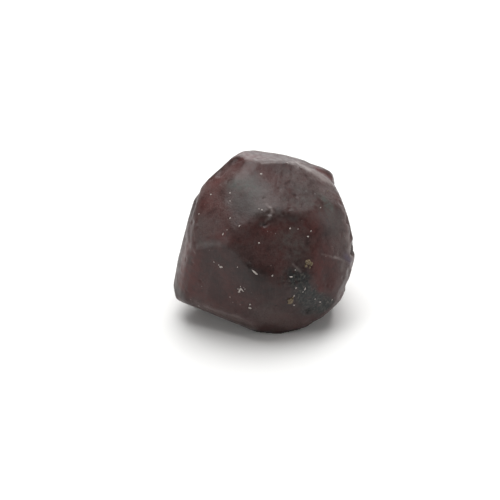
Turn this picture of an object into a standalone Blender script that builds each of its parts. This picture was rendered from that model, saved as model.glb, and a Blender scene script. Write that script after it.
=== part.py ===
"""One loose garnet crystal, grown as a single solid.

The crystal is bounded by flat growth faces. Each face is a plane, given as a goniometer gives it:
the bearing of its outward normal (0 towards the viewer, -Y; 90 to the right, +X), the normal's rise
above the horizontal, and the plane's distance from the crystal's centre in millimetres. A block of
growth is the space inside all of its planes. Blocks that share these directions and differ in a few
distances are fused, which leaves the ledges and terraces that uneven growth leaves on a crystal.
"""

import math
import random

import bmesh
import bpy
from mathutils import Matrix, Vector

MM = 0.001
SEED = 7

# Name of the face: bearing (degrees), rise (degrees), distance from the centre (mm).
FACES = {
    "crown": (154, 73, 9.95),
    "crown_right": (111, 60, 9.97),
    "right_tip": (112, 46, 10.1),
    "roof": (50, 63, 9.4),
    "right_rim": (84, 52, 9.75),
    "right_shoulder": (57, 34, 10.03),
    "left_roof": (-83, 61, 10.3),
    "haze": (-16, 55, 10.15),
    "roof_edge": (17, 62, 9.82),
    "red_window": (-55, 49, 10.4),
    "shoulder": (-43, 34, 10.4),
    "left_rim": (-78, 10, 9.5),
    "left_strip": (-64, 4, 10.3),
    "left_front": (-27, -5, 9.4),
    "front": (12, 27, 9.65),
    "front_right": (26, 25, 9.4),
    "right_glow": (40, 18, 9.6),
    "right_side": (51, 15, 9.92),
    "right_low": (62, -6, 10.6),
    "rind": (25, -11, 10.2),
    "chin_top": (5, 0, 10.3),
    "chin": (6, -24, 10.0),
    "underlip": (-26, -34, 9.9),
    "left_near": (-106, 4, 8.45),
    "left_far": (-99, 13, 8.15),
    "left_back_roof": (-125, 33, 8.5),
    "back_roof": (168, 40, 9.0),
    "right_back_roof": (146, 22, 10.2),
    "right_near": (104, 8, 9.02),
    "right_far": (103, -2, 9.12),
    "right_foot": (90, -18, 9.5),
    "right_under": (66, -42, 10.1),
    "under_right": (60, -60, 9.4),
    "under_left": (-40, -56, 9.2),
    "back": (178, -6, 8.6),
    "back_left": (-150, -2, 8.6),
    "back_right": (143, -12, 8.8),
    "back_low": (-172, -42, 8.2),
    "back_low_left": (-118, -38, 8.6),
    "back_low_right": (128, -45, 8.4),
    "base": (0, -90, 7.0),
}

# Blocks of growth beside the main one: the faces that lie elsewhere in them, with their distance (mm).
LOBES = {
    "left_lobe": {
        "shoulder": 10.0,
        "red_window": 9.7,
        "left_roof": 9.6,
        "left_back_roof": 8.2,
        "left_far": 8.55,
        "left_rim": 9.65,
    },
    "right_tip_lobe": {
        "roof": 8.9,
        "right_rim": 9.6,
        "right_tip": 10.75,
        "right_near": 9.3,
        "right_foot": 5.8,
        "right_shoulder": 9.3,
        "right_side": 9.2,
        "right_glow": 9.2,
        "crown_right": 10.05,
    },
}

# Terraces: the raised face, its height (mm), and how far each neighbouring face is set back (mm).
TERRACES = (
    ("left_front", 0.06, {"left_strip": 1.6}),
    ("right_side", 0.06, {"right_low": 1.2}),
    ("back_roof", 0.12, {"crown": 1.3, "left_back_roof": 1.0}),
    ("back_left", 0.10, {"back": 1.2}),
    ("back_right", 0.12, {"back": 0.9, "right_far": 0.9}),
    ("left_near", 0.08, {"left_back_roof": 1.0}),
)
SINK = 0.02  # how far the first block's unchanged faces lie below the main block's (mm)
SINK_STEP = 0.012  # how much deeper they lie in each next block, so that no two coincide (mm)

# Chips broken from edges and pits in faces: bearing, rise, radius and depth (mm).
CHIPS = (
    (4, 44, 0.75, 0.28),
    (29, -21, 0.5, 0.18),
    (71, 26, 0.8, 0.14),
    (76, 8, 0.9, 0.18),
    (66, -14, 0.8, 0.16),
    (40, -34, 0.9, 0.20),
    (-67, 19, 0.7, 0.12),
    (-84, -12, 1.0, 0.16),
    (-46, -27, 0.8, 0.12),
    (130, 50, 1.2, 0.22),
    (178, 18, 1.1, 0.22),
    (-140, 22, 1.2, 0.22),
    (-165, -24, 1.0, 0.20),
    (120, -28, 1.1, 0.22),
    (-100, -26, 1.0, 0.20),
)
PIT_COUNT = 16
PIT_BEARING = (80, 290)
PIT_RISE = (-28, 75)
PIT_RADIUS = (0.25, 0.6)
PIT_DEPTH = 0.18  # of the pit's radius
SCOOP_HEIGHT = 0.6  # half height of the lump that cuts a chip or pit, of its radius

# The skin of another mineral low on the right: where it lies and the size of its lumps.
RIND_BEARING = (16, 40)
RIND_RISE = (-22, 0)
RIND_LUMPS = 14
LUMP_RADIUS = (0.45, 1.0)
LUMP_HEIGHT = 0.07  # half height of the thinnest lump (mm)
LUMP_SWELL = 0.085  # what a lump's half height gains for its radius
LUMP_SUNK = 0.45  # how deep a lump's centre lies, of its half height

STRETCH = (0.9, 1.9)  # length of a scoop or lump for its width
ROUGHNESS = (0.82, 1.06)  # how far a scoop's or lump's points lie from its centre, for its radius

WORN_WIDTH = (0.25, 0.7)  # width of the worn band along an edge (mm)
LEAST_WORN_ANGLE = math.radians(9)
CORNER_WEAR = 0.6  # depth of a worn corner, of the widest band's width and the corner's steepness
LOWEST_WEAR = -0.98  # a plane whose normal points down more than this would take the base's face away
START_SIZE = 40.0  # side of the cube that the growth planes are cut from (mm)
MERGE = 0.00002  # in metres
ON_PLANE = MERGE / 20  # how near a corner lies to a plane to count as on it, in metres

# The stone's finish: dark maroon, dull and barely translucent.
GARNET_COLOUR = (0.055, 0.022, 0.022, 1)
GARNET_ROUGHNESS = 0.45
GARNET_IOR = 1.8


def direction(bearing, rise):
    """The unit vector at a bearing and a rise, in degrees."""
    turn, lift = math.radians(bearing), math.radians(rise)
    return Vector((
        math.cos(lift) * math.sin(turn),
        -math.cos(lift) * math.cos(turn),
        math.sin(lift),
    ))


def block_reach(distances, towards):
    """How far a block's surface is from the centre in a direction (mm)."""
    return min(
        distances.get(face, distance) / direction(bearing, rise).dot(towards)
        for face, (bearing, rise, distance) in FACES.items()
        if direction(bearing, rise).dot(towards) > 0
    )


def reach(towards):
    """How far the crystal's surface is from the centre in a direction (mm)."""
    fused = (block_reach(distances, towards) for _, distances in growth_blocks())
    return max(block_reach({}, towards), *fused)


def cut(solid, normal, distance_mm):
    """Removes what lies outside a plane, and closes the cut with one flat face."""
    bmesh.ops.bisect_plane(
        solid,
        geom=solid.verts[:] + solid.edges[:] + solid.faces[:],
        dist=ON_PLANE,
        plane_co=normal * distance_mm * MM,
        plane_no=normal,
        clear_outer=True,
    )
    open_edges = [edge for edge in solid.edges if edge.is_boundary]
    if open_edges:
        bmesh.ops.holes_fill(solid, edges=open_edges)


def worn_planes(solid, chance):
    """Planes that take the sharpness off a convex block's edges and corners."""
    planes = []
    for edge in solid.edges:
        between = edge.calc_face_angle(0)
        if between < LEAST_WORN_ANGLE:
            continue
        normal = (edge.link_faces[0].normal + edge.link_faces[1].normal).normalized()
        depth = chance.uniform(*WORN_WIDTH) / 2 * math.tan(between / 2)
        planes.append((normal, edge.verts[0].co.dot(normal) / MM - depth))
    for corner in solid.verts:
        normal = sum((face.normal for face in corner.link_faces), Vector()).normalized()
        widest = max(normal.angle(face.normal) for face in corner.link_faces)
        depth = CORNER_WEAR * WORN_WIDTH[1] * math.tan(widest)
        planes.append((normal, corner.co.dot(normal) / MM - depth))
    return planes


def growth_block(name, distances, chance):
    """A convex block inside all the growth planes, with its edges worn."""
    solid = bmesh.new()
    bmesh.ops.create_cube(solid, size=START_SIZE * MM)
    for face, (bearing, rise, distance) in FACES.items():
        cut(solid, direction(bearing, rise), distances.get(face, distance))
    bmesh.ops.remove_doubles(solid, verts=solid.verts, dist=MERGE)
    solid.normal_update()
    for normal, distance in worn_planes(solid, chance):
        if normal.z > LOWEST_WEAR:
            cut(solid, normal, distance)
    bmesh.ops.remove_doubles(solid, verts=solid.verts, dist=MERGE)
    bmesh.ops.recalc_face_normals(solid, faces=solid.faces)
    return as_object(solid, name)


def growth_blocks():
    """Name and distances of each block that is fused to the main one."""
    changes = [(name, {}, places) for name, places in LOBES.items()]
    for raised, height, set_back in TERRACES:
        changes.append((f"terrace_{raised}", set_back, {raised: FACES[raised][2] + height}))
    for number, (name, set_back, places) in enumerate(changes):
        sink = SINK + SINK_STEP * number
        distances = {
            face: distance - max(sink, set_back.get(face, 0))
            for face, (_, _, distance) in FACES.items()
        }
        yield name, distances | places


def rounded_lump(name, centre, outward, radius, height, chance):
    """A low irregular lump, flattened along the outward direction (mm)."""
    solid = bmesh.new()
    bmesh.ops.create_icosphere(solid, subdivisions=2, radius=1.0)
    for vert in solid.verts:
        vert.co *= chance.uniform(*ROUGHNESS)
    turn = outward.to_track_quat("Z", "X").to_matrix().to_4x4()
    spin = Matrix.Rotation(chance.uniform(0, math.tau), 4, "Z")
    wide = Matrix.Diagonal((radius * chance.uniform(*STRETCH) * MM, radius * MM, height * MM, 1))
    solid.transform(Matrix.Translation(centre * MM) @ turn @ spin @ wide)
    return as_object(solid, name)


def as_object(solid, name):
    """A mesh object, in the scene's collection until it is filed, from a bmesh."""
    mesh = bpy.data.meshes.new(name)
    solid.to_mesh(mesh)
    solid.free()
    return bpy.data.objects.new(name, mesh)


def chips_and_pits(chance):
    """Scoops for the chipped edges and for the small pits in the faces."""
    places = list(CHIPS)
    for _ in range(PIT_COUNT):
        radius = chance.uniform(*PIT_RADIUS)
        place = chance.uniform(*PIT_BEARING), chance.uniform(*PIT_RISE)
        places.append((*place, radius, PIT_DEPTH * radius))
    scoops = []
    for number, (bearing, rise, radius, depth) in enumerate(places):
        outward = direction(bearing, rise)
        height = radius * SCOOP_HEIGHT
        centre = outward * (reach(outward) + height - depth)
        scoops.append(rounded_lump(f"scoop_{number}", centre, outward, radius, height, chance))
    return scoops


def rind_lumps(chance):
    """The low lumps of the mineral skin, half sunk in the faces they grew on."""
    lumps = []
    for number in range(RIND_LUMPS):
        outward = direction(chance.uniform(*RIND_BEARING), chance.uniform(*RIND_RISE))
        radius = chance.uniform(*LUMP_RADIUS)
        height = LUMP_HEIGHT + LUMP_SWELL * radius
        centre = outward * (reach(outward) - height * LUMP_SUNK)
        lumps.append(rounded_lump(f"lump_{number}", centre, outward, radius, height, chance))
    return lumps


def combine(target, other, operation, helpers):
    """Adds a Boolean with a helper object, which is kept out of the render."""
    helpers.objects.link(other)
    other.hide_render = True
    other.display_type = "WIRE"
    boolean = target.modifiers.new(other.name, "BOOLEAN")
    boolean.operation = operation
    boolean.solver = "EXACT"
    boolean.object = other


def garnet_material():
    """The material of the whole crystal."""
    material = bpy.data.materials.new("garnet")
    material.use_nodes = True
    shader = material.node_tree.nodes["Principled BSDF"]
    shader.inputs["Base Color"].default_value = GARNET_COLOUR
    shader.inputs["Roughness"].default_value = GARNET_ROUGHNESS
    shader.inputs["Metallic"].default_value = 0.0
    shader.inputs["IOR"].default_value = GARNET_IOR
    return material


def stand_on_origin(pieces):
    """Moves all pieces so that the finished crystal rests on z = 0, centred in plan."""
    bpy.context.view_layer.update()
    crystal = pieces[0].evaluated_get(bpy.context.evaluated_depsgraph_get())
    corners = [Vector(corner) for corner in crystal.bound_box]
    low = Vector(map(min, zip(*corners)))
    high = Vector(map(max, zip(*corners)))
    shift = Matrix.Translation((-(low.x + high.x) / 2, -(low.y + high.y) / 2, -low.z))
    for piece in pieces:
        piece.data.transform(shift)


def build():
    for old in list(bpy.data.objects):
        bpy.data.objects.remove(old)
    chance = random.Random(SEED)
    parts = bpy.data.collections.new("garnet crystal")
    helpers = bpy.data.collections.new("growth and wear helpers")
    bpy.context.scene.collection.children.link(parts)
    bpy.context.scene.collection.children.link(helpers)

    crystal = growth_block("garnet_crystal", {}, chance)
    parts.objects.link(crystal)
    for name, distances in growth_blocks():
        combine(crystal, growth_block(name, distances, chance), "UNION", helpers)
    for lump in rind_lumps(chance):
        combine(crystal, lump, "UNION", helpers)
    for scoop in chips_and_pits(chance):
        combine(crystal, scoop, "DIFFERENCE", helpers)
    crystal.data.materials.append(garnet_material())
    stand_on_origin([crystal, *helpers.objects])


build()
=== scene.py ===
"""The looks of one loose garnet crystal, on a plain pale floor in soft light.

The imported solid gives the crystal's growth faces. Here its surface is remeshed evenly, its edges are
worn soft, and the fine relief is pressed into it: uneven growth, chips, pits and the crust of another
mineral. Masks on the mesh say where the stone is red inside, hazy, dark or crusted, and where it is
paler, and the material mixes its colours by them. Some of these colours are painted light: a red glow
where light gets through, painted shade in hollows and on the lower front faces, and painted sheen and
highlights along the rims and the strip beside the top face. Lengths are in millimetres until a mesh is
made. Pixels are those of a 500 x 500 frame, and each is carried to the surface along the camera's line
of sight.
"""

import math
import random

import bmesh
import bpy
import numpy as np
from mathutils import Matrix, Vector, noise
from mathutils.bvhtree import BVHTree


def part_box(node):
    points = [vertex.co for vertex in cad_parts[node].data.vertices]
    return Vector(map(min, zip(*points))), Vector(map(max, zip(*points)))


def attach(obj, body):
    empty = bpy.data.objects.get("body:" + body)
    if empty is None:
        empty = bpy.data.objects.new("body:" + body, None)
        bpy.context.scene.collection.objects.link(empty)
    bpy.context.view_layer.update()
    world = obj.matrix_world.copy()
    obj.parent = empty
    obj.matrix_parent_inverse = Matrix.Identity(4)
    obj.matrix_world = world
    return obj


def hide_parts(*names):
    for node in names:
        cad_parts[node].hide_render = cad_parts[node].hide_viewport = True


MM = 0.001
SEED = 11

# The camera: how it looks down on the crystal, and where its line of sight passes.
ELEVATION = math.radians(30)
DISTANCE = 600.0
FRAME_PIXELS = 500
PIXEL = 0.1097  # what a pixel covers at the crystal (mm)
AIM = Vector((-1.520, 0.263, 6.330))
SENSOR = 36.0

RIGHT = Vector((1, 0, 0))
UP = Vector((0, math.sin(ELEVATION), math.cos(ELEVATION)))
TOWARDS_CAMERA = Vector((0, -math.cos(ELEVATION), math.sin(ELEVATION)))
EYE = AIM + TOWARDS_CAMERA * DISTANCE

# The surface's mesh.
VOXEL = 0.135
WEAR_PASSES = 4  # rounds of smoothing that wear the edges
MELT_PASSES = 69  # rounds where growth has blurred an edge away
FILL_PASSES = 230  # more rounds where the crust fills a hollow
WEAR_STEP = 0.5  # how far a round moves each point towards its neighbours' mean
WORN_LOSS = 0.05  # an edge that has lost this much is fully worn (mm)
CHIPPED_WEAR = 0.45  # chips lie where the wear is more than this
FLAT_UNDER = 0.35  # below this height the base keeps its flat face
INSET = 0.03  # how far the shown surface lies inside the solid's, to leave room for relief (mm)

# Uneven growth: size and depth of its swells (mm), coarse to fine.
SWELLS = ((2.6, 0.040), (1.1, 0.020), (0.45, 0.010), (0.26, 0.007))
SWELL_SHIFT = (17.3, 5.1, 11.7)  # moves each swell away from the others in the noise

# How strokes on the surface fade and fray, and the sizes (mm) and shares of what frays them.
STROKE_FADE = 1.1
STROKE_FRAY = 0.4
RIDGE_FRAY = 0.5  # of the fraying, on the lines in relief
FRAYS = ((0.9, 1.0), (0.35, 0.6))

# Chips along the edges and pits in the faces, beside those in the solid (mm).
CHIP_COUNT = 90
CHIP_RADIUS = (0.22, 0.7)
CHIP_DEPTH = 0.20  # of the chip's radius
PIT_COUNT = 170
PIT_RADIUS = (0.14, 0.36)
PIT_DEPTH = 0.24
SCOOP_STRETCH = (0.5, 1.0)
SCOOP_RIM = 1.5  # how softly a scoop's rim runs out
SCOOP_REACH = 1.5  # how far above and below its centre a scoop acts, of its radius
CRUST_GRAIN = 0.36  # width of the crust's grains (mm)
CRUST_HEIGHT = 0.11  # of its grains above the gaps (mm)
CRUST_LEVEL = 0.55  # where, from a grain's centre to its rim, the crust is level with the stone
CRUST_RIM = 0.9  # the crust gets no deeper beyond this

# Chips that show on the outline and at the front: pixel, radius and depth (mm).
SEEN_CHIPS = (
    ((335, 184), 0.75, 0.12),  # below the tip
    ((341, 203), 0.55, 0.10),  # right rim, from top to bottom
    ((347, 217), 0.45, 0.09),
    ((351, 236), 0.70, 0.13),
    ((353, 254), 0.45, 0.10),
    ((349, 272), 0.70, 0.10),
    ((341, 297), 0.60, 0.10),
    ((240, 160), 0.55, 0.08),  # upper left edge
    ((221, 173), 0.90, 0.16),  # the ledge on the upper left edge
    ((236, 161), 0.60, 0.10),
    ((192, 222), 0.50, 0.07),  # left rim
    ((187, 246), 0.60, 0.08),
    ((307, 311), 0.40, 0.16),  # pit in the crust
    ((324, 317), 0.30, 0.08),  # lower right edge
    ((312, 325), 0.30, 0.08),
)

# Relief along lines: from pixel, to pixel, half width and height (mm, a groove's is negative).
RIDGES = (
    ((267, 205), (270.5, 208), 0.24, 0.06),  # the curved ledge, in four stretches
    ((270.5, 208), (272, 212), 0.26, 0.09),
    ((272, 212), (270, 217), 0.26, 0.10),
    ((270, 217), (265.5, 221), 0.24, 0.07),
    ((261, 229), (267, 223), 0.42, -0.14),  # the notch under it
    ((284, 216), (293, 217), 0.40, -0.06),  # foot of the upper face
    ((332, 256), (352, 264), 0.16, -0.07),  # the crack at the right
    ((334, 247), (335, 252), 0.12, -0.04),  # a short crack above it
    ((296, 163), (300, 168), 0.30, 0.07),  # corner of the top face
    ((208, 310), (262, 331), 0.22, 0.05),  # the underlip
    ((300, 168), (327, 182), 0.30, 0.03),  # edge of the strip beside the top face
    ((196, 252), (214, 248), 0.35, 0.05),  # top of the left front face
    ((276, 174), (274, 190), 0.16, 0.011),  # striations of the upper face
    ((281, 170), (279, 186), 0.16, 0.014),
    ((285.5, 176), (284, 194), 0.18, 0.012),
    ((290, 168), (288, 182), 0.16, 0.014),
    ((294, 176), (293.5, 188), 0.18, 0.010),
)

# Where the colour differs, by the stone itself or by painted light: from pixel, to pixel, half width
# (mm) and strength.
PATCHES = {
    # a red glow painted where light gets through the stone, over the stone's own red
    "red": (
        ((246, 158), (236, 168), 1.0, 0.70),  # edge left of the upper face
        ((226, 174), (213, 184), 1.3, 0.65),  # upper left edge
        ((211, 186), (207, 200), 1.4, 0.80),  # the red window at the upper left
        ((214, 200), (224, 209), 1.0, 0.75),  # its lower end
        ((202, 212), (212, 216), 1.2, 0.35),  # left shoulder
        ((197, 256), (190, 290), 0.9, 0.60),  # streak at the left of the front
        ((206, 268), (214, 300), 1.3, 0.30),  # left front face
        ((266, 226), (280, 228), 0.8, 0.40),  # under the notch
        ((314, 218), (318, 246), 1.0, 0.55),  # above the glow
        ((316, 250), (318, 262), 0.7, 0.80),  # the glow, where it is brightest
        ((319, 268), (320, 290), 0.8, 1.00),  # the glow beside the crust
        ((325, 250), (332, 286), 1.1, 0.40),  # right side
        ((210, 270), (246, 296), 1.8, 0.18),  # left front face
        ((206, 251), (254, 268), 1.4, 0.28),  # top of the left front face
        ((236, 240), (282, 268), 1.6, 0.10),  # front face
        ((318, 169), (332, 179), 0.7, 0.80),  # the red wedge at the tip
        ((242, 153), (254, 156), 0.8, 0.55),  # left end of the top face
        ((336, 196), (347, 226), 0.5, 0.40),  # right rim
        ((262, 172), (270, 176), 1.2, 0.30),  # upper face
        ((205, 228), (222, 240), 1.3, 0.40),  # foot of the shoulder
        ((243, 162), (248, 173), 0.9, 0.60),  # edge left of the upper face
        ((186, 246), (181, 284), 1.0, 0.85),  # left strip
        ((250, 255), (262, 262), 1.2, 0.15),  # middle of the front
        ((262, 225), (270, 232), 0.8, 0.45),  # under the notch
    ),
    "haze": (
        ((235, 183), (251, 187), 1.0, 0.90),  # the hazy patch
        ((248, 180), (256, 193), 0.8, 0.50),  # its right edge
        ((238, 200), (262, 209), 0.8, 0.25),  # its mottled foot
        ((262, 206), (300, 208), 1.6, 0.25),  # foot of the upper face
        ((325, 198), (330, 207), 0.75, 1.00),  # the greenish patch at the right
        ((296, 178), (310, 200), 1.8, 0.30),  # right half of the upper face
        ((199, 243), (216, 244), 0.45, 0.22),  # top of the left front face
        ((177, 286), (180, 293), 0.6, 0.45),  # lower left corner
        ((287, 238), (302, 252), 1.4, 0.40),  # front face
        ((270, 309), (284, 322), 1.4, 0.25),  # chin
        ((330, 216), (342, 228), 1.3, 0.35),  # right shoulder
        ((200, 222), (206, 232), 1.2, 0.30),  # left shoulder
    ),
    # painted shade in the notch, in the groove at the foot of the upper face and over the lower front
    # faces, and darker patches elsewhere
    "dark": (
        ((262, 224), (270, 222), 0.6, 0.75),  # the notch
        ((284, 216), (294, 218), 0.5, 0.60),  # foot of the upper face
        ((238, 234), (262, 236), 1.1, 0.40),  # left of the front face
        ((226, 262), (246, 280), 1.7, 0.60),  # left front face
        ((204, 250), (246, 258), 1.5, 0.75),  # its top
        ((246, 262), (262, 282), 1.4, 0.65),  # its right
        ((206, 262), (216, 296), 1.5, 0.55),  # its left
        ((262, 278), (284, 300), 2.2, 0.60),  # above the chin
        ((242, 282), (262, 300), 1.8, 0.40),
        ((245, 163), (252, 175), 1.1, 0.65),  # edge left of the upper face
        ((226, 200), (229, 206), 0.4, 0.60),  # specks beside the red window
        ((234, 204), (258, 213), 1.1, 0.60),  # foot of the hazy patch
        ((178, 262), (186, 286), 0.8, 0.45),  # left strip
        ((318, 240), (324, 280), 1.2, 0.45),  # between the glow and the right side
    ),
    "crust": (
        ((292, 276), (303, 278), 0.6, 0.60),  # top of the crust
        ((294, 280), (306, 292), 1.0, 0.90),  # its left half
        ((304, 278), (309, 292), 0.7, 0.90),  # its dark middle
        ((302, 298), (322, 306), 1.0, 0.95),  # lower half
        ((306, 310), (322, 310), 0.7, 0.80),  # its foot
        ((312, 292), (332, 304), 0.6, 0.60),  # its right tongue
    ),
    # painted sheen: paler colour along the rims, the strip beside the top face and the faces over the
    # floor, standing in for the light they reflect, and paler patches on other faces
    "painted_sheen": (
        ((262, 314), (302, 324), 1.3, 0.40),  # chin
        ((262, 321), (290, 326), 0.8, 0.35),  # foot of the chin
        ((244, 246), (284, 264), 1.5, 0.16),  # front face
        ((321, 190), (328, 196), 0.8, 0.45),  # right edge of the upper face
        ((200, 307), (252, 324), 0.9, 0.66),  # underlip
        ((200, 222), (236, 226), 1.4, 0.15),  # left shoulder
        ((206, 188), (222, 204), 1.6, 0.46),  # red window
        ((300, 165), (328, 180), 1.0, 0.80),  # strip beside the top face
        ((226, 170), (240, 176), 1.0, 0.42),  # left of the hazy patch
        ((190, 226), (184, 256), 0.7, 0.40),  # left rim
        ((262, 160), (296, 162), 0.5, 0.20),  # front edge of the top face
        ((332, 188), (348, 222), 1.0, 0.50),  # right shoulder
        ((351, 266), (344, 290), 1.1, 0.60),  # lower right rim
        ((334, 240), (338, 252), 0.8, 0.25),  # right side
        ((272, 236), (300, 240), 1.3, 0.15),  # front face
        ((186, 244), (190, 226), 0.5, 0.30),  # left rim
        ((264, 182), (264, 200), 1.2, 0.20),  # upper face
        ((300, 180), (326, 192), 1.2, 0.25),  # its right half
        ((312, 312), (336, 304), 0.5, 0.25),  # below the crust
    ),
    "violet": (
        ((347, 257), (352, 262), 0.45, 0.55),  # end of the crack
    ),
    # of the pale lines, those along the rims, the strip beside the top face, its front edge, the right
    # shoulder and the underlip are painted highlights
    "pale": (
        ((267, 205), (270.5, 208), 0.15, 0.25),  # the curved ledge, in four stretches
        ((270.5, 208), (272, 212), 0.15, 0.32),
        ((272, 212), (270, 217), 0.17, 0.32),
        ((270, 217), (265.5, 221), 0.17, 0.22),
        ((200, 243), (212, 243), 0.22, 0.06),  # top of the left front face
        ((293, 264), (301, 272), 0.13, 0.26),  # a fibre above the crust
        ((342, 270), (344, 262), 0.25, 0.20),  # below the crack
        ((322, 254), (336, 258), 0.11, 0.16),  # the crack, faint at first
        ((335, 257), (352, 264), 0.12, 0.62),  # its bright end
        ((299, 163), (310, 170), 0.55, 0.38),  # strip beside the top face
        ((309, 169), (322, 177), 0.75, 0.46),
        ((322, 178), (331, 182), 0.45, 0.46),
        ((262, 163), (298, 163), 0.14, 0.45),  # front edge of the top face
        ((348, 238), (351, 250), 0.50, 0.45),  # right rim
        ((350, 250), (353, 262), 0.50, 0.50),
        ((180, 300), (254, 329), 0.26, 0.44),  # underlip
        ((205, 307), (240, 318), 0.24, 0.26),
        ((196, 206), (194, 240), 0.15, 0.14),  # left rim
        ((336, 188), (348, 224), 0.30, 0.12),  # right shoulder
    ),
    "fill": (
        ((300, 277), (318, 279), 1.5, 1.0),  # hollow under the crust
        ((304, 284), (312, 284), 1.2, 1.0),
    ),
    "melt": (
        ((229, 182), (228, 212), 1.2, 1.0),  # left of the hazy patch
        ((238, 174), (252, 176), 1.1, 0.9),  # above it
        ((243, 166), (250, 174), 0.9, 0.8),
        ((252, 180), (262, 206), 1.2, 1.0),  # right of it
        ((266, 180), (280, 212), 1.4, 1.0),  # upper face
        ((228, 214), (240, 230), 1.2, 0.8),  # left shoulder
        ((204, 248), (246, 254), 1.0, 0.8),  # top of the left front face
        ((240, 230), (258, 218), 0.7, 0.6),  # under the hazy patch
        ((202, 214), (226, 212), 1.0, 0.7),  # red window
        ((232, 232), (262, 272), 1.2, 0.7),  # left of the front face
        ((276, 218), (320, 216), 0.9, 0.6),  # foot of the upper face
        ((280, 230), (286, 270), 1.0, 0.8),  # front face
        ((318, 222), (312, 266), 1.2, 0.8),  # right of the front face
        ((326, 172), (332, 196), 0.3, 0.3),  # below the tip
        ((320, 186), (324, 206), 0.9, 0.8),  # right edge of the upper face
        ((262, 272), (292, 284), 1.4, 0.7),  # above the chin
        ((292, 278), (304, 290), 1.0, 0.8),  # under the crust
        ((292, 296), (322, 308), 1.0, 0.7),
        ((264, 286), (256, 304), 1.0, 0.7),  # left of the chin
        ((208, 252), (206, 300), 0.8, 0.5),  # left front face
        ((332, 232), (332, 272), 0.9, 0.7),  # right side
    ),
}

# Patches on the sides that the camera doesn't see: their size and their fine part's (mm), the kinds,
# the fine part's share, and their strength.
UNSEEN_PATCH = 3.4
UNSEEN_FINE = UNSEEN_PATCH / 3
UNSEEN_PATCHES = (("red", 11, 16), ("haze", 12, 17), ("dark", 13, 18))  # with their swells' numbers
UNSEEN_RAGGED = 0.35
UNSEEN_STRENGTH = 1.8
UNSEEN_MOST = 0.6
UNSEEN_START = 0.2  # how unseen a face is that lies along the line of sight
UNSEEN_RISE = 2.5  # how fast that grows as the face turns away

# Grains of other minerals on the faces: pixel, length and width (mm), and turn in the picture
# (degrees).
PALE_GRAINS = (
    ((259, 243), 0.27, 0.20, 0),  # upper faces and shoulder
    ((261, 174), 0.31, 0.22, 30),
    ((211, 194.5), 0.26, 0.20, 0),
    ((230, 193), 0.22, 0.17, 0),
    ((230, 201), 0.16, 0.12, 0),
    ((230, 218), 0.24, 0.14, 80),
    ((239.4, 226), 0.22, 0.15, 50),
    ((223, 234), 0.30, 0.18, 60),
    ((227, 230), 0.14, 0.10, 40),
    ((290, 228.5), 0.22, 0.18, 0),  # front face
    ((308, 236.5), 0.24, 0.20, 0),
    ((311, 231), 0.22, 0.13, 60),
    ((221, 267), 0.42, 0.26, 20),  # left front face
    ((219, 265), 0.20, 0.12, 70),
    ((254.5, 272), 0.72, 0.20, -40),  # a short fibre
    ((256.5, 274), 0.30, 0.16, -10),
    ((240, 290), 0.62, 0.22, 55),  # a cluster of splinters
    ((241.5, 289), 0.48, 0.16, -60),
    ((239, 292), 0.36, 0.16, 10),
    ((243, 291), 0.30, 0.14, -20),
    ((238, 289), 0.22, 0.12, 0),
    ((240.5, 286.5), 0.20, 0.10, 80),
    ((245, 289), 0.14, 0.10, 30),
    ((250, 308), 0.36, 0.26, 0),  # above the chin
    ((250, 304.5), 0.24, 0.18, 30),
    ((262, 210), 0.24, 0.17, 0),  # beside the curved ledge
    ((259, 209), 0.16, 0.12, 0),
    ((291, 277), 0.36, 0.20, 0),  # in the crust
    ((296, 288), 0.24, 0.18, 60),
    ((305, 289), 0.32, 0.15, 80),
    ((303, 292), 0.18, 0.12, 20),
    ((294, 296), 0.24, 0.16, 70),
    ((320, 302), 0.26, 0.20, 0),
    ((315, 299), 0.16, 0.12, 0),
    ((294, 305), 0.26, 0.20, -40),
    ((332, 300), 0.18, 0.14, 0),
    ((199, 306), 0.20, 0.12, -20),  # single ones
    ((199, 214), 0.20, 0.12, 60),
    ((298, 229), 0.14, 0.12, 0),
    ((230, 297), 0.14, 0.12, 0),
    ((214, 262), 0.16, 0.12, 0),
    ((287.5, 163), 0.36, 0.14, 15),
)
OCHRE_GRAINS = (
    ((308, 262), 0.80, 0.62, 15),  # above the crust
    ((311, 264), 0.55, 0.42, 60),
    ((306, 266), 0.42, 0.34, 0),
    ((309.5, 267.5), 0.30, 0.26, 0),
    ((290.5, 300.5), 0.80, 0.72, 80),  # left of the crust
    ((292.5, 297.5), 0.34, 0.24, 60),
    ((289, 303), 0.40, 0.32, 0),
)
UNSEEN_PALE = 36
UNSEEN_OCHRE = 8
GRAIN_LENGTH = (0.12, 0.34)
GRAIN_WIDTH = 0.6  # of the grain's length, on the unseen sides
GRAIN_HEIGHT = 0.35  # of the grain's width
GRAIN_SHAPE = (0.72, 1.12)  # how far a grain's points lie from its centre, for its size
OUTSIDE = 30.0  # a distance from the centre that is well outside the crystal (mm)

# The floor and the light: the lamps' names, places (m), sides (m) and powers (W).
FLOOR_SIZE = 24.0
FLOOR_COLOUR = (0.90, 0.90, 0.89, 1)
ROOM_COLOUR = (1.0, 0.99, 0.98, 1)
ROOM_STRENGTH = 0.20
LAMPS = (
    ("overhead", (-0.03, 0.45, 1.5), 1.6, 33.0),
    ("behind", (0.2, 2.0, 0.8), 1.4, 17.5),
    ("left", (-1.8, -0.6, 0.5), 0.9, 9.3),
    ("right", (1.9, 0.1, 0.7), 1.2, 8.5),
)


def line_of_sight(pixel):
    """Where the camera's line of sight through a pixel starts, and its direction."""
    across = (pixel[0] - FRAME_PIXELS / 2) * PIXEL
    rise = (FRAME_PIXELS / 2 - pixel[1]) * PIXEL
    spot = AIM + RIGHT * across + UP * rise
    return EYE, (spot - EYE).normalized()


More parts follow.
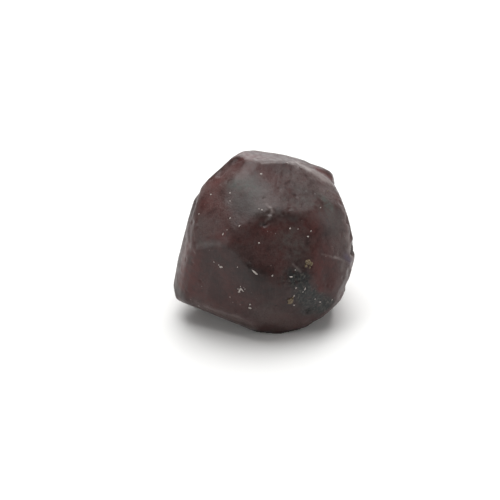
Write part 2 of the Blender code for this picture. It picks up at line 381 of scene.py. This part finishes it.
def surface_at(tree, pixel):
    """The point of the surface that shows at a pixel, or the nearest one, with its normal."""
    start, along = line_of_sight(pixel)
    point, normal, _, _ = tree.ray_cast(start, along)
    if point is None:
        beside = start + along * (AIM - start).dot(along)
        point, normal, _, _ = tree.find_nearest(beside)
    return point, normal


def tree_of(points, mesh):
    """A search tree of a mesh's faces, with its vertices at points in millimetres."""
    return BVHTree.FromPolygons(points, [tuple(face.vertices) for face in mesh.polygons])


def even_mesh(node):
    """A node's surface as an even mesh of small faces, in metres."""
    source = bpy.data.objects.new("even", node.data.copy())
    bpy.context.scene.collection.objects.link(source)
    remesh = source.modifiers.new("remesh", "REMESH")
    remesh.mode = "VOXEL"
    remesh.voxel_size = VOXEL * MM
    shown = source.evaluated_get(bpy.context.evaluated_depsgraph_get())
    mesh = bpy.data.meshes.new_from_object(shown)
    bpy.data.objects.remove(source)
    return mesh


def values_of(collection, name, width, kind=np.float32):
    """One property of a mesh's vertices or edges, as rows of numbers."""
    values = np.zeros(len(collection) * width, kind)
    collection.foreach_get(name, values)
    return values.reshape(-1, width)


def set_points(mesh, points):
    """Moves a mesh's vertices to points in millimetres."""
    mesh.vertices.foreach_set("co", (points * MM).astype(np.float32).ravel())
    mesh.update()


def smoothed(points, edges, passes):
    """Points moved towards the mean of their neighbours, a few times over."""
    here = np.concatenate([edges[:, 0], edges[:, 1]])
    there = np.concatenate([edges[:, 1], edges[:, 0]])
    size = len(points)
    count = np.bincount(here, minlength=size)
    for _ in range(passes):
        mean = [np.bincount(here, points[there, axis], size) / count for axis in range(3)]
        points = points + WEAR_STEP * (np.stack(mean, axis=1) - points)
    return points


def swell(points, size, number):
    """Smooth noise from about -1 to 1 at each point, with features of a size."""
    shift = Vector([number * step for step in SWELL_SHIFT])
    return np.array([noise.noise(Vector(point) / size + shift) for point in points])


def scoop(points, centre, outward, radius, depth, chance):
    """How deep an oval hollow goes at each point: a bowl with a soft rim."""
    along = outward.orthogonal().normalized()
    along = Matrix.Rotation(chance.uniform(0, math.tau), 3, outward) @ along
    across = outward.cross(along)
    apart = points - np.array(centre)
    away = np.hypot(
        apart @ np.array(along) / radius,
        apart @ np.array(across) / (radius * chance.uniform(*SCOOP_STRETCH)),
    )
    near = np.abs(apart @ np.array(outward)) < radius * SCOOP_REACH
    return np.where(near, depth * (1 - np.minimum(away, 1) ** 2) ** SCOOP_RIM, 0)


def stroke(points, tree, start_pixel, end_pixel, width, ragged):
    """A soft stroke between two pixels at each point, from 1 on its line to 0 beside it."""
    start, _ = surface_at(tree, start_pixel)
    end, _ = surface_at(tree, end_pixel)
    line = np.array(end - start)
    along = np.clip((points - np.array(start)) @ line / (line @ line), 0, 1)
    away = np.linalg.norm(points - np.array(start) - along[:, None] * line, axis=1) / width
    return np.exp(-STROKE_FADE * (away * (1 + STROKE_FRAY * ragged)) ** 2)


def patch_mask(points, tree, strokes, ragged):
    """How strongly a kind of patch shows at each point, from 0 to 1."""
    mask = np.zeros(len(points))
    for start_pixel, end_pixel, width, strength in strokes:
        here = strength * stroke(points, tree, start_pixel, end_pixel, width, ragged)
        mask = mask + here - mask * here
    return mask


def set_mask(mesh, name, values):
    """Keeps a mask on the mesh, for the material to read."""
    mask = mesh.attributes.new(name, "FLOAT", "POINT")
    mask.data.foreach_set("value", np.asarray(values, np.float32))


def stone_masks(points, normals, tree, ragged):
    """Every kind of patch's mask, with patches on the sides that the camera doesn't see."""
    masks = {name: patch_mask(points, tree, strokes, ragged) for name, strokes in PATCHES.items()}
    unseen = np.clip(UNSEEN_START - UNSEEN_RISE * (normals @ np.array(TOWARDS_CAMERA)), 0, 1)
    for name, broad_number, fine_number in UNSEEN_PATCHES:
        cloud = swell(points, UNSEEN_PATCH, broad_number)
        cloud += UNSEEN_RAGGED * swell(points, UNSEEN_FINE, fine_number)
        masks[name] = np.maximum(masks[name], unseen * np.clip(UNSEEN_STRENGTH * cloud, 0, UNSEEN_MOST))
    return masks


def scoop_places(points, normals, wear, tree, chance):
    """Centre, outward direction, radius and depth of every chip and pit."""
    places = []
    worn = np.flatnonzero(wear > CHIPPED_WEAR)
    for _ in range(CHIP_COUNT):
        vertex = worn[chance.randrange(len(worn))]
        radius = chance.uniform(*CHIP_RADIUS)
        places.append((points[vertex], normals[vertex], radius, radius * CHIP_DEPTH))
    for _ in range(PIT_COUNT):
        vertex = chance.randrange(len(points))
        radius = chance.uniform(*PIT_RADIUS)
        places.append((points[vertex], normals[vertex], radius, radius * PIT_DEPTH))
    for pixel, radius, depth in SEEN_CHIPS:
        point, normal = surface_at(tree, pixel)
        places.append((point, normal, radius, depth))
    return places


def fine_relief(points, normals, masks, even, tree, ragged, chance):
    """How far the surface stands out at each point (mm): swells, ridges, scoops and the crust."""
    relief = np.zeros(len(points))
    for number, (size, depth) in enumerate(SWELLS, start=3):
        relief += depth * swell(points, size, number)
    for start_pixel, end_pixel, width, height in RIDGES:
        relief += height * stroke(points, tree, start_pixel, end_pixel, width, RIDGE_FRAY * ragged)
    for centre, outward, radius, depth in scoop_places(points, normals, masks["wear"], tree, chance):
        outward = Vector(outward).normalized()
        relief -= even * scoop(points, centre, outward, radius, depth, chance)
    from_centre = np.array([noise.voronoi(Vector(point) / CRUST_GRAIN)[0][0] for point in points])
    relief += masks["crust"] * CRUST_HEIGHT * (CRUST_LEVEL - np.minimum(from_centre, CRUST_RIM))
    return relief


def crystal_surface(node, chance):
    """The crystal's surface in full relief, with its masks."""
    low, high = (np.array(corner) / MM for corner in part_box(node.name))
    mesh = even_mesh(node)
    points = values_of(mesh.vertices, "co", 3).astype(float) / MM
    edges = values_of(mesh.edges, "vertices", 2, np.int32)
    normals = values_of(mesh.vertices, "normal", 3).astype(float)
    tree = tree_of([tuple(point) for point in points], mesh)
    ragged = np.zeros(len(points))
    for number, (size, share) in enumerate(FRAYS, start=1):
        ragged += share * swell(points, size, number)
    masks = stone_masks(points, normals, tree, ragged)

    soft = smoothed(points, edges, WEAR_PASSES)
    melted = smoothed(soft, edges, MELT_PASSES)
    filled = smoothed(melted, edges, FILL_PASSES)
    even = 1 - masks["fill"]
    lost = ((points - soft) * normals).sum(axis=1)
    masks["wear"] = even * np.clip(lost / WORN_LOSS, 0, 1)
    for name, smoother in (("melt", melted), ("fill", filled)):
        soft = soft + masks.pop(name)[:, None] * (smoother - soft)
    set_points(mesh, soft)
    normals = values_of(mesh.vertices, "normal", 3).astype(float)

    relief = fine_relief(points, normals, masks, even, tree, ragged, chance)
    held = np.clip(soft[:, 2] / FLAT_UNDER, 0, 1)
    shaped = soft + normals * ((relief - INSET) * held)[:, None]
    shaped = smoothed(shaped, edges, 1)
    shaped = np.clip(shaped, low, high)
    shaped[points[:, 2] < VOXEL, 2] = low[2]
    set_points(mesh, shaped)
    for name, values in masks.items():
        set_mask(mesh, name, values)
    mesh.shade_smooth()
    piece = bpy.data.objects.new("garnet_surface", mesh)
    bpy.context.scene.collection.objects.link(piece)
    return piece


def add_grain(mesh, place, outward, along, length, width, chance):
    """Adds a small sharp lump to a mesh, half sunk in the surface (mm)."""
    made = bmesh.ops.create_icosphere(mesh, subdivisions=2, radius=1.0)["verts"]
    across = outward.cross(along).normalized()
    along = across.cross(outward)
    for vert in made:
        local = vert.co * chance.uniform(*GRAIN_SHAPE)
        vert.co = (
            place
            + along * local.x * length / 2
            + across * local.y * width / 2
            + outward * local.z * width * GRAIN_HEIGHT
        ) * MM


def grains(name, surface, seen, unseen_count, chance):
    """Grains of one mineral: those that the camera sees, and a few on the other sides."""
    tree = tree_of([vertex.co / MM for vertex in surface.data.vertices], surface.data)
    mesh = bmesh.new()
    for pixel, length, width, turn in seen:
        place, outward = surface_at(tree, pixel)
        along = RIGHT * math.cos(math.radians(turn)) + UP * math.sin(math.radians(turn))
        add_grain(mesh, place, outward, along, length, width, chance)
    centre = sum((Vector(corner) for corner in surface.bound_box), Vector()) / 8 / MM
    for _ in range(unseen_count):
        away = Vector([chance.gauss(0, 1) for _ in range(3)]) - TOWARDS_CAMERA
        away.normalize()
        place, outward, _, _ = tree.ray_cast(centre + away * OUTSIDE, -away)
        if place.z < FLAT_UNDER:  # it would lie under the crystal
            continue
        length = chance.uniform(*GRAIN_LENGTH)
        add_grain(mesh, place, outward, outward.orthogonal(), length, length * GRAIN_WIDTH, chance)
    shape = bpy.data.meshes.new(name)
    mesh.to_mesh(shape)
    mesh.free()
    piece = bpy.data.objects.new(name, shape)
    bpy.context.scene.collection.objects.link(piece)
    return piece


class Nodes:
    """A material's node tree, with short ways to add to it."""

    def __init__(self, name):
        self.material = bpy.data.materials.new(name)
        self.material.use_nodes = True
        self.tree = self.material.node_tree
        self.shader = self.tree.nodes["Principled BSDF"]
        coordinates = self.tree.nodes.new("ShaderNodeTexCoord")
        scale = self.tree.nodes.new("ShaderNodeVectorMath")
        scale.operation = "SCALE"
        scale.inputs["Scale"].default_value = 1 / MM
        self.tree.links.new(coordinates.outputs["Object"], scale.inputs[0])
        self.place = scale.outputs[0]

    def plug(self, value, socket):
        """Links an output to a socket, or sets the socket's own value."""
        if isinstance(value, bpy.types.NodeSocket):
            self.tree.links.new(value, socket)
        else:
            socket.default_value = value

    def clouds(self, size, detail=2.0, stretch=(1, 1, 1)):
        """Noise from 0 to 1 with features of a size in millimetres."""
        where = self.tree.nodes.new("ShaderNodeVectorMath")
        where.operation = "MULTIPLY"
        self.plug(self.place, where.inputs[0])
        where.inputs[1].default_value = [1 / (size * share) for share in stretch]
        texture = self.tree.nodes.new("ShaderNodeTexNoise")
        texture.inputs["Scale"].default_value = 1.0
        texture.inputs["Detail"].default_value = detail
        self.plug(where.outputs[0], texture.inputs["Vector"])
        return texture.outputs["Fac"]

    def flecks(self, spacing, radius, rarity):
        """Scattered small spots: 1 at a spot's centre, 0 outside it."""
        where = self.tree.nodes.new("ShaderNodeVectorMath")
        where.operation = "SCALE"
        self.plug(self.place, where.inputs[0])
        where.inputs["Scale"].default_value = 1 / spacing
        cells = self.tree.nodes.new("ShaderNodeTexVoronoi")
        cells.inputs["Scale"].default_value = 1.0
        self.plug(where.outputs[0], cells.inputs["Vector"])
        chosen = self.ramp(cells.outputs["Color"], rarity, rarity + 0.1)
        spot = self.ramp(cells.outputs["Distance"], radius / spacing, 0.0)
        return self.math("MULTIPLY", chosen, spot)

    def mask(self, name):
        """A mask that the mesh carries."""
        attribute = self.tree.nodes.new("ShaderNodeAttribute")
        attribute.attribute_name = name
        return attribute.outputs["Fac"]

    def math(self, operation, first, second=0.0):
        """The sum, product or another simple result of two values, kept from 0 to 1."""
        made = self.tree.nodes.new("ShaderNodeMath")
        made.operation = operation
        made.use_clamp = True
        self.plug(first, made.inputs[0])
        self.plug(second, made.inputs[1])
        return made.outputs[0]

    def ramp(self, value, low, high, dark=0.0, light=1.0):
        """A value stretched so that low to high becomes dark to light."""
        made = self.tree.nodes.new("ShaderNodeMapRange")
        self.plug(value, made.inputs["Value"])
        made.inputs["From Min"].default_value = low
        made.inputs["From Max"].default_value = high
        made.inputs["To Min"].default_value = dark
        made.inputs["To Max"].default_value = light
        return made.outputs["Result"]

    def mix(self, share, first, second):
        """One colour fading into another."""
        made = self.tree.nodes.new("ShaderNodeMix")
        made.data_type = "RGBA"
        self.plug(share, made.inputs[0])
        self.plug(first, made.inputs[6])
        self.plug(second, made.inputs[7])
        return made.outputs[2]

    def bump(self, height, distance, strength, under=None):
        """A bump of a height map, on top of another where one is given."""
        made = self.tree.nodes.new("ShaderNodeBump")
        made.inputs["Distance"].default_value = distance * MM
        made.inputs["Strength"].default_value = strength
        self.plug(height, made.inputs["Height"])
        if under is not None:
            self.plug(under, made.inputs["Normal"])
        return made.outputs["Normal"]


# Colours of the stone and of the light painted on it, linear.
BODY_DARK = (0.025, 0.0100, 0.0095, 1)
BODY_WARM = (0.054, 0.0150, 0.0135, 1)
# the stone's red, painted as a glow where light gets through
INNER_RED_GLOW = (0.080, 0.0115, 0.009, 1)
HAZE = (0.056, 0.058, 0.051, 1)
FILM = (0.050, 0.031, 0.029, 1)
# the stone's darker mottle, and the painted shade of the dark mask
DARK_MOTTLE_AND_SHADE = (0.010, 0.0065, 0.006, 1)
CRUST_DARK = (0.0105, 0.0115, 0.0115, 1)
CRUST_PALE = (0.066, 0.060, 0.052, 1)
VIOLET = (0.075, 0.060, 0.105, 1)
# painted sheen: paler colour that stands in for light reflected on the rims and lower faces
PAINTED_SHEEN_COLOUR = (0.105, 0.076, 0.072, 1)
PALE = (0.24, 0.20, 0.19, 1)
WORN = (0.070, 0.046, 0.043, 1)
PALE_MINERAL = (0.52, 0.47, 0.44, 1)
PALE_MINERAL_DULL = (0.26, 0.22, 0.20, 1)
OCHRE_MINERAL = (0.17, 0.12, 0.060, 1)
OCHRE_MINERAL_DARK = (0.055, 0.036, 0.018, 1)


def garnet_finish():
    """Dark maroon stone with a frosted skin, a red glow painted where light gets through it, painted
    shade in its hollows and painted sheen along its rims.
    """
    stone = Nodes("garnet")
    broad = stone.clouds(3.0, 3.0)
    cloud = stone.clouds(1.3, 4.0)
    mottle = stone.clouds(0.55, 4.0)
    fine = stone.clouds(0.15, 3.0)
    crumb = stone.clouds(0.26, 3.0)
    streaks = stone.clouds(0.22, 2.0, (1, 1, 7))

    # The stone itself: dark and warm parts, clouded and mottled.
    colour = stone.mix(stone.ramp(broad, 0.36, 0.64), BODY_DARK, BODY_WARM)
    colour = stone.mix(stone.ramp(cloud, 0.46, 0.70, 0.0, 0.35), colour, FILM)
    colour = stone.mix(stone.ramp(mottle, 0.48, 0.68, 0.0, 0.55), colour, FILM)
    colour = stone.mix(stone.ramp(mottle, 0.46, 0.30, 0.0, 0.55), colour, DARK_MOTTLE_AND_SHADE)
    # A red glow painted where light gets through, and painted shade in hollows and on the lower front
    # faces.
    red = stone.math("MULTIPLY", stone.mask("red"), stone.ramp(mottle, 0.28, 0.60, 0.55, 1.0))
    colour = stone.mix(red, colour, INNER_RED_GLOW)
    # Painted shade in the hollows and on the lower front faces.
    dark = stone.math("MULTIPLY", stone.mask("dark"), stone.ramp(cloud, 0.35, 0.60, 1.0, 0.5))
    colour = stone.mix(dark, colour, DARK_MOTTLE_AND_SHADE)
    # What lies on it: haze, the crust and a violet spot, and a painted sheen: paler colour along the
    # rims, the strip beside the top face and the lower faces, for the light they reflect.
    haze = stone.math("MULTIPLY", stone.mask("haze"), stone.ramp(mottle, 0.36, 0.60, 0.30, 1.1))
    colour = stone.mix(haze, colour, HAZE)
    colour = stone.mix(stone.ramp(fine, 0.44, 0.28, 0.0, 0.35), colour, DARK_MOTTLE_AND_SHADE)
    # Painted sheen: paler where light is reflected, along the rims and on the faces over the floor.
    painted_sheen_share = stone.math("MULTIPLY", stone.mask("painted_sheen"), stone.ramp(fine, 0.34, 0.62, 0.4, 1.5))
    colour = stone.mix(painted_sheen_share, colour, PAINTED_SHEEN_COLOUR)
    crust_colour = stone.mix(stone.ramp(crumb, 0.50, 0.72), CRUST_DARK, CRUST_PALE)
    crust = stone.math("MULTIPLY", stone.mask("crust"), stone.ramp(mottle, 0.34, 0.52, 0.35, 1.3))
    colour = stone.mix(crust, colour, crust_colour)
    colour = stone.mix(stone.mask("violet"), colour, VIOLET)
    # Worn edges, streaks, flecks and pale lines; the pale lines along the rims and edges are painted
    # highlights.
    worn = stone.math("MULTIPLY", stone.mask("wear"), stone.ramp(fine, 0.35, 0.65, 0.15, 0.70))
    colour = stone.mix(worn, colour, WORN)
    colour = stone.mix(stone.ramp(streaks, 0.56, 0.74, 0.0, 0.20), colour, WORN)
    colour = stone.mix(stone.flecks(0.42, 0.075, 0.80), colour, PALE)
    colour = stone.mix(stone.mask("pale"), colour, PALE)
    stone.plug(colour, stone.shader.inputs["Base Color"])

    # Sheen and fine relief.
    rough = stone.ramp(mottle, 0.30, 0.70, 0.30, 0.50)
    stone.plug(rough, stone.shader.inputs["Roughness"])
    stone.shader.inputs["IOR"].default_value = 1.38
    under = stone.bump(mottle, 0.05, 0.35)
    stone.plug(stone.bump(fine, 0.020, 0.6, under), stone.shader.inputs["Normal"])
    return stone.material


def grain_finish(name, bright, dull):
    """Rough crystalline grains, lighter where they are clean."""
    mineral = Nodes(name)
    patch = mineral.clouds(0.09, 3.0)
    colour = mineral.mix(mineral.ramp(patch, 0.35, 0.65), dull, bright)
    mineral.plug(colour, mineral.shader.inputs["Base Color"])
    mineral.plug(mineral.ramp(patch, 0.30, 0.70, 0.35, 0.60), mineral.shader.inputs["Roughness"])
    mineral.plug(mineral.bump(patch, 0.02, 0.6), mineral.shader.inputs["Normal"])
    return mineral.material


def floor():
    """A plain pale floor."""
    bpy.ops.mesh.primitive_plane_add(size=FLOOR_SIZE)
    ground = bpy.context.object
    ground.name = "floor"
    surface = Nodes("floor")
    surface.shader.inputs["Base Color"].default_value = FLOOR_COLOUR
    surface.shader.inputs["Roughness"].default_value = 0.9
    surface.shader.inputs["Specular IOR Level"].default_value = 0.1
    ground.data.materials.append(surface.material)


def lamp(name, place, size, power):
    """A square soft light that faces the crystal."""
    light = bpy.data.lights.new(name, "AREA")
    light.size = size
    light.energy = power
    holder = bpy.data.objects.new(name, light)
    holder.location = place
    holder.rotation_euler = (-Vector(place)).to_track_quat("-Z", "Y").to_euler()
    bpy.context.scene.collection.objects.link(holder)


def lights():
    """Soft light from above, behind and both sides, with a bright room round it."""
    room = bpy.data.worlds.new("room")
    room.use_nodes = True
    sky = room.node_tree.nodes["Background"]
    sky.inputs["Color"].default_value = ROOM_COLOUR
    sky.inputs["Strength"].default_value = ROOM_STRENGTH
    bpy.context.scene.world = room
    for name, place, size, power in LAMPS:
        lamp(name, place, size, power)
    bpy.context.scene.view_settings.view_transform = "Standard"


def camera():
    """The camera, far off with a long lens, so that its lines of sight are nearly parallel."""
    view = bpy.data.cameras.new("camera")
    view.sensor_width = SENSOR
    view.lens = SENSOR * DISTANCE / (FRAME_PIXELS * PIXEL)
    holder = bpy.data.objects.new("camera", view)
    holder.location = EYE * MM
    holder.rotation_euler = (-TOWARDS_CAMERA).to_track_quat("-Z", "Y").to_euler()
    bpy.context.scene.collection.objects.link(holder)
    bpy.context.scene.camera = holder


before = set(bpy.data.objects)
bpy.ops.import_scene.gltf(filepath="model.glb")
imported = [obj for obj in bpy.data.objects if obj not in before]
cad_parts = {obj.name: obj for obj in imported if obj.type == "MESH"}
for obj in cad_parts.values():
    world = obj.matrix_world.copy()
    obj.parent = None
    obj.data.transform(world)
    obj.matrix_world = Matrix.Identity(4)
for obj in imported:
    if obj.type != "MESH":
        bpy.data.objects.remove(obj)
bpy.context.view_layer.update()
chance = random.Random(SEED)

camera()
lights()
floor()
crystal = crystal_surface(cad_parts["garnet_crystal"], chance)
crystal.data.materials.clear()
crystal.data.materials.append(garnet_finish())
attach(crystal, "root")
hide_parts("garnet_crystal")
minerals = (
    ("pale_grains", PALE_GRAINS, UNSEEN_PALE, PALE_MINERAL, PALE_MINERAL_DULL),
    ("ochre_grains", OCHRE_GRAINS, UNSEEN_OCHRE, OCHRE_MINERAL, OCHRE_MINERAL_DARK),
)
for name, seen, unseen_count, bright, dull in minerals:
    piece = grains(name, crystal, seen, unseen_count, chance)
    piece.data.materials.append(grain_finish(name, bright, dull))
    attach(piece, "root")
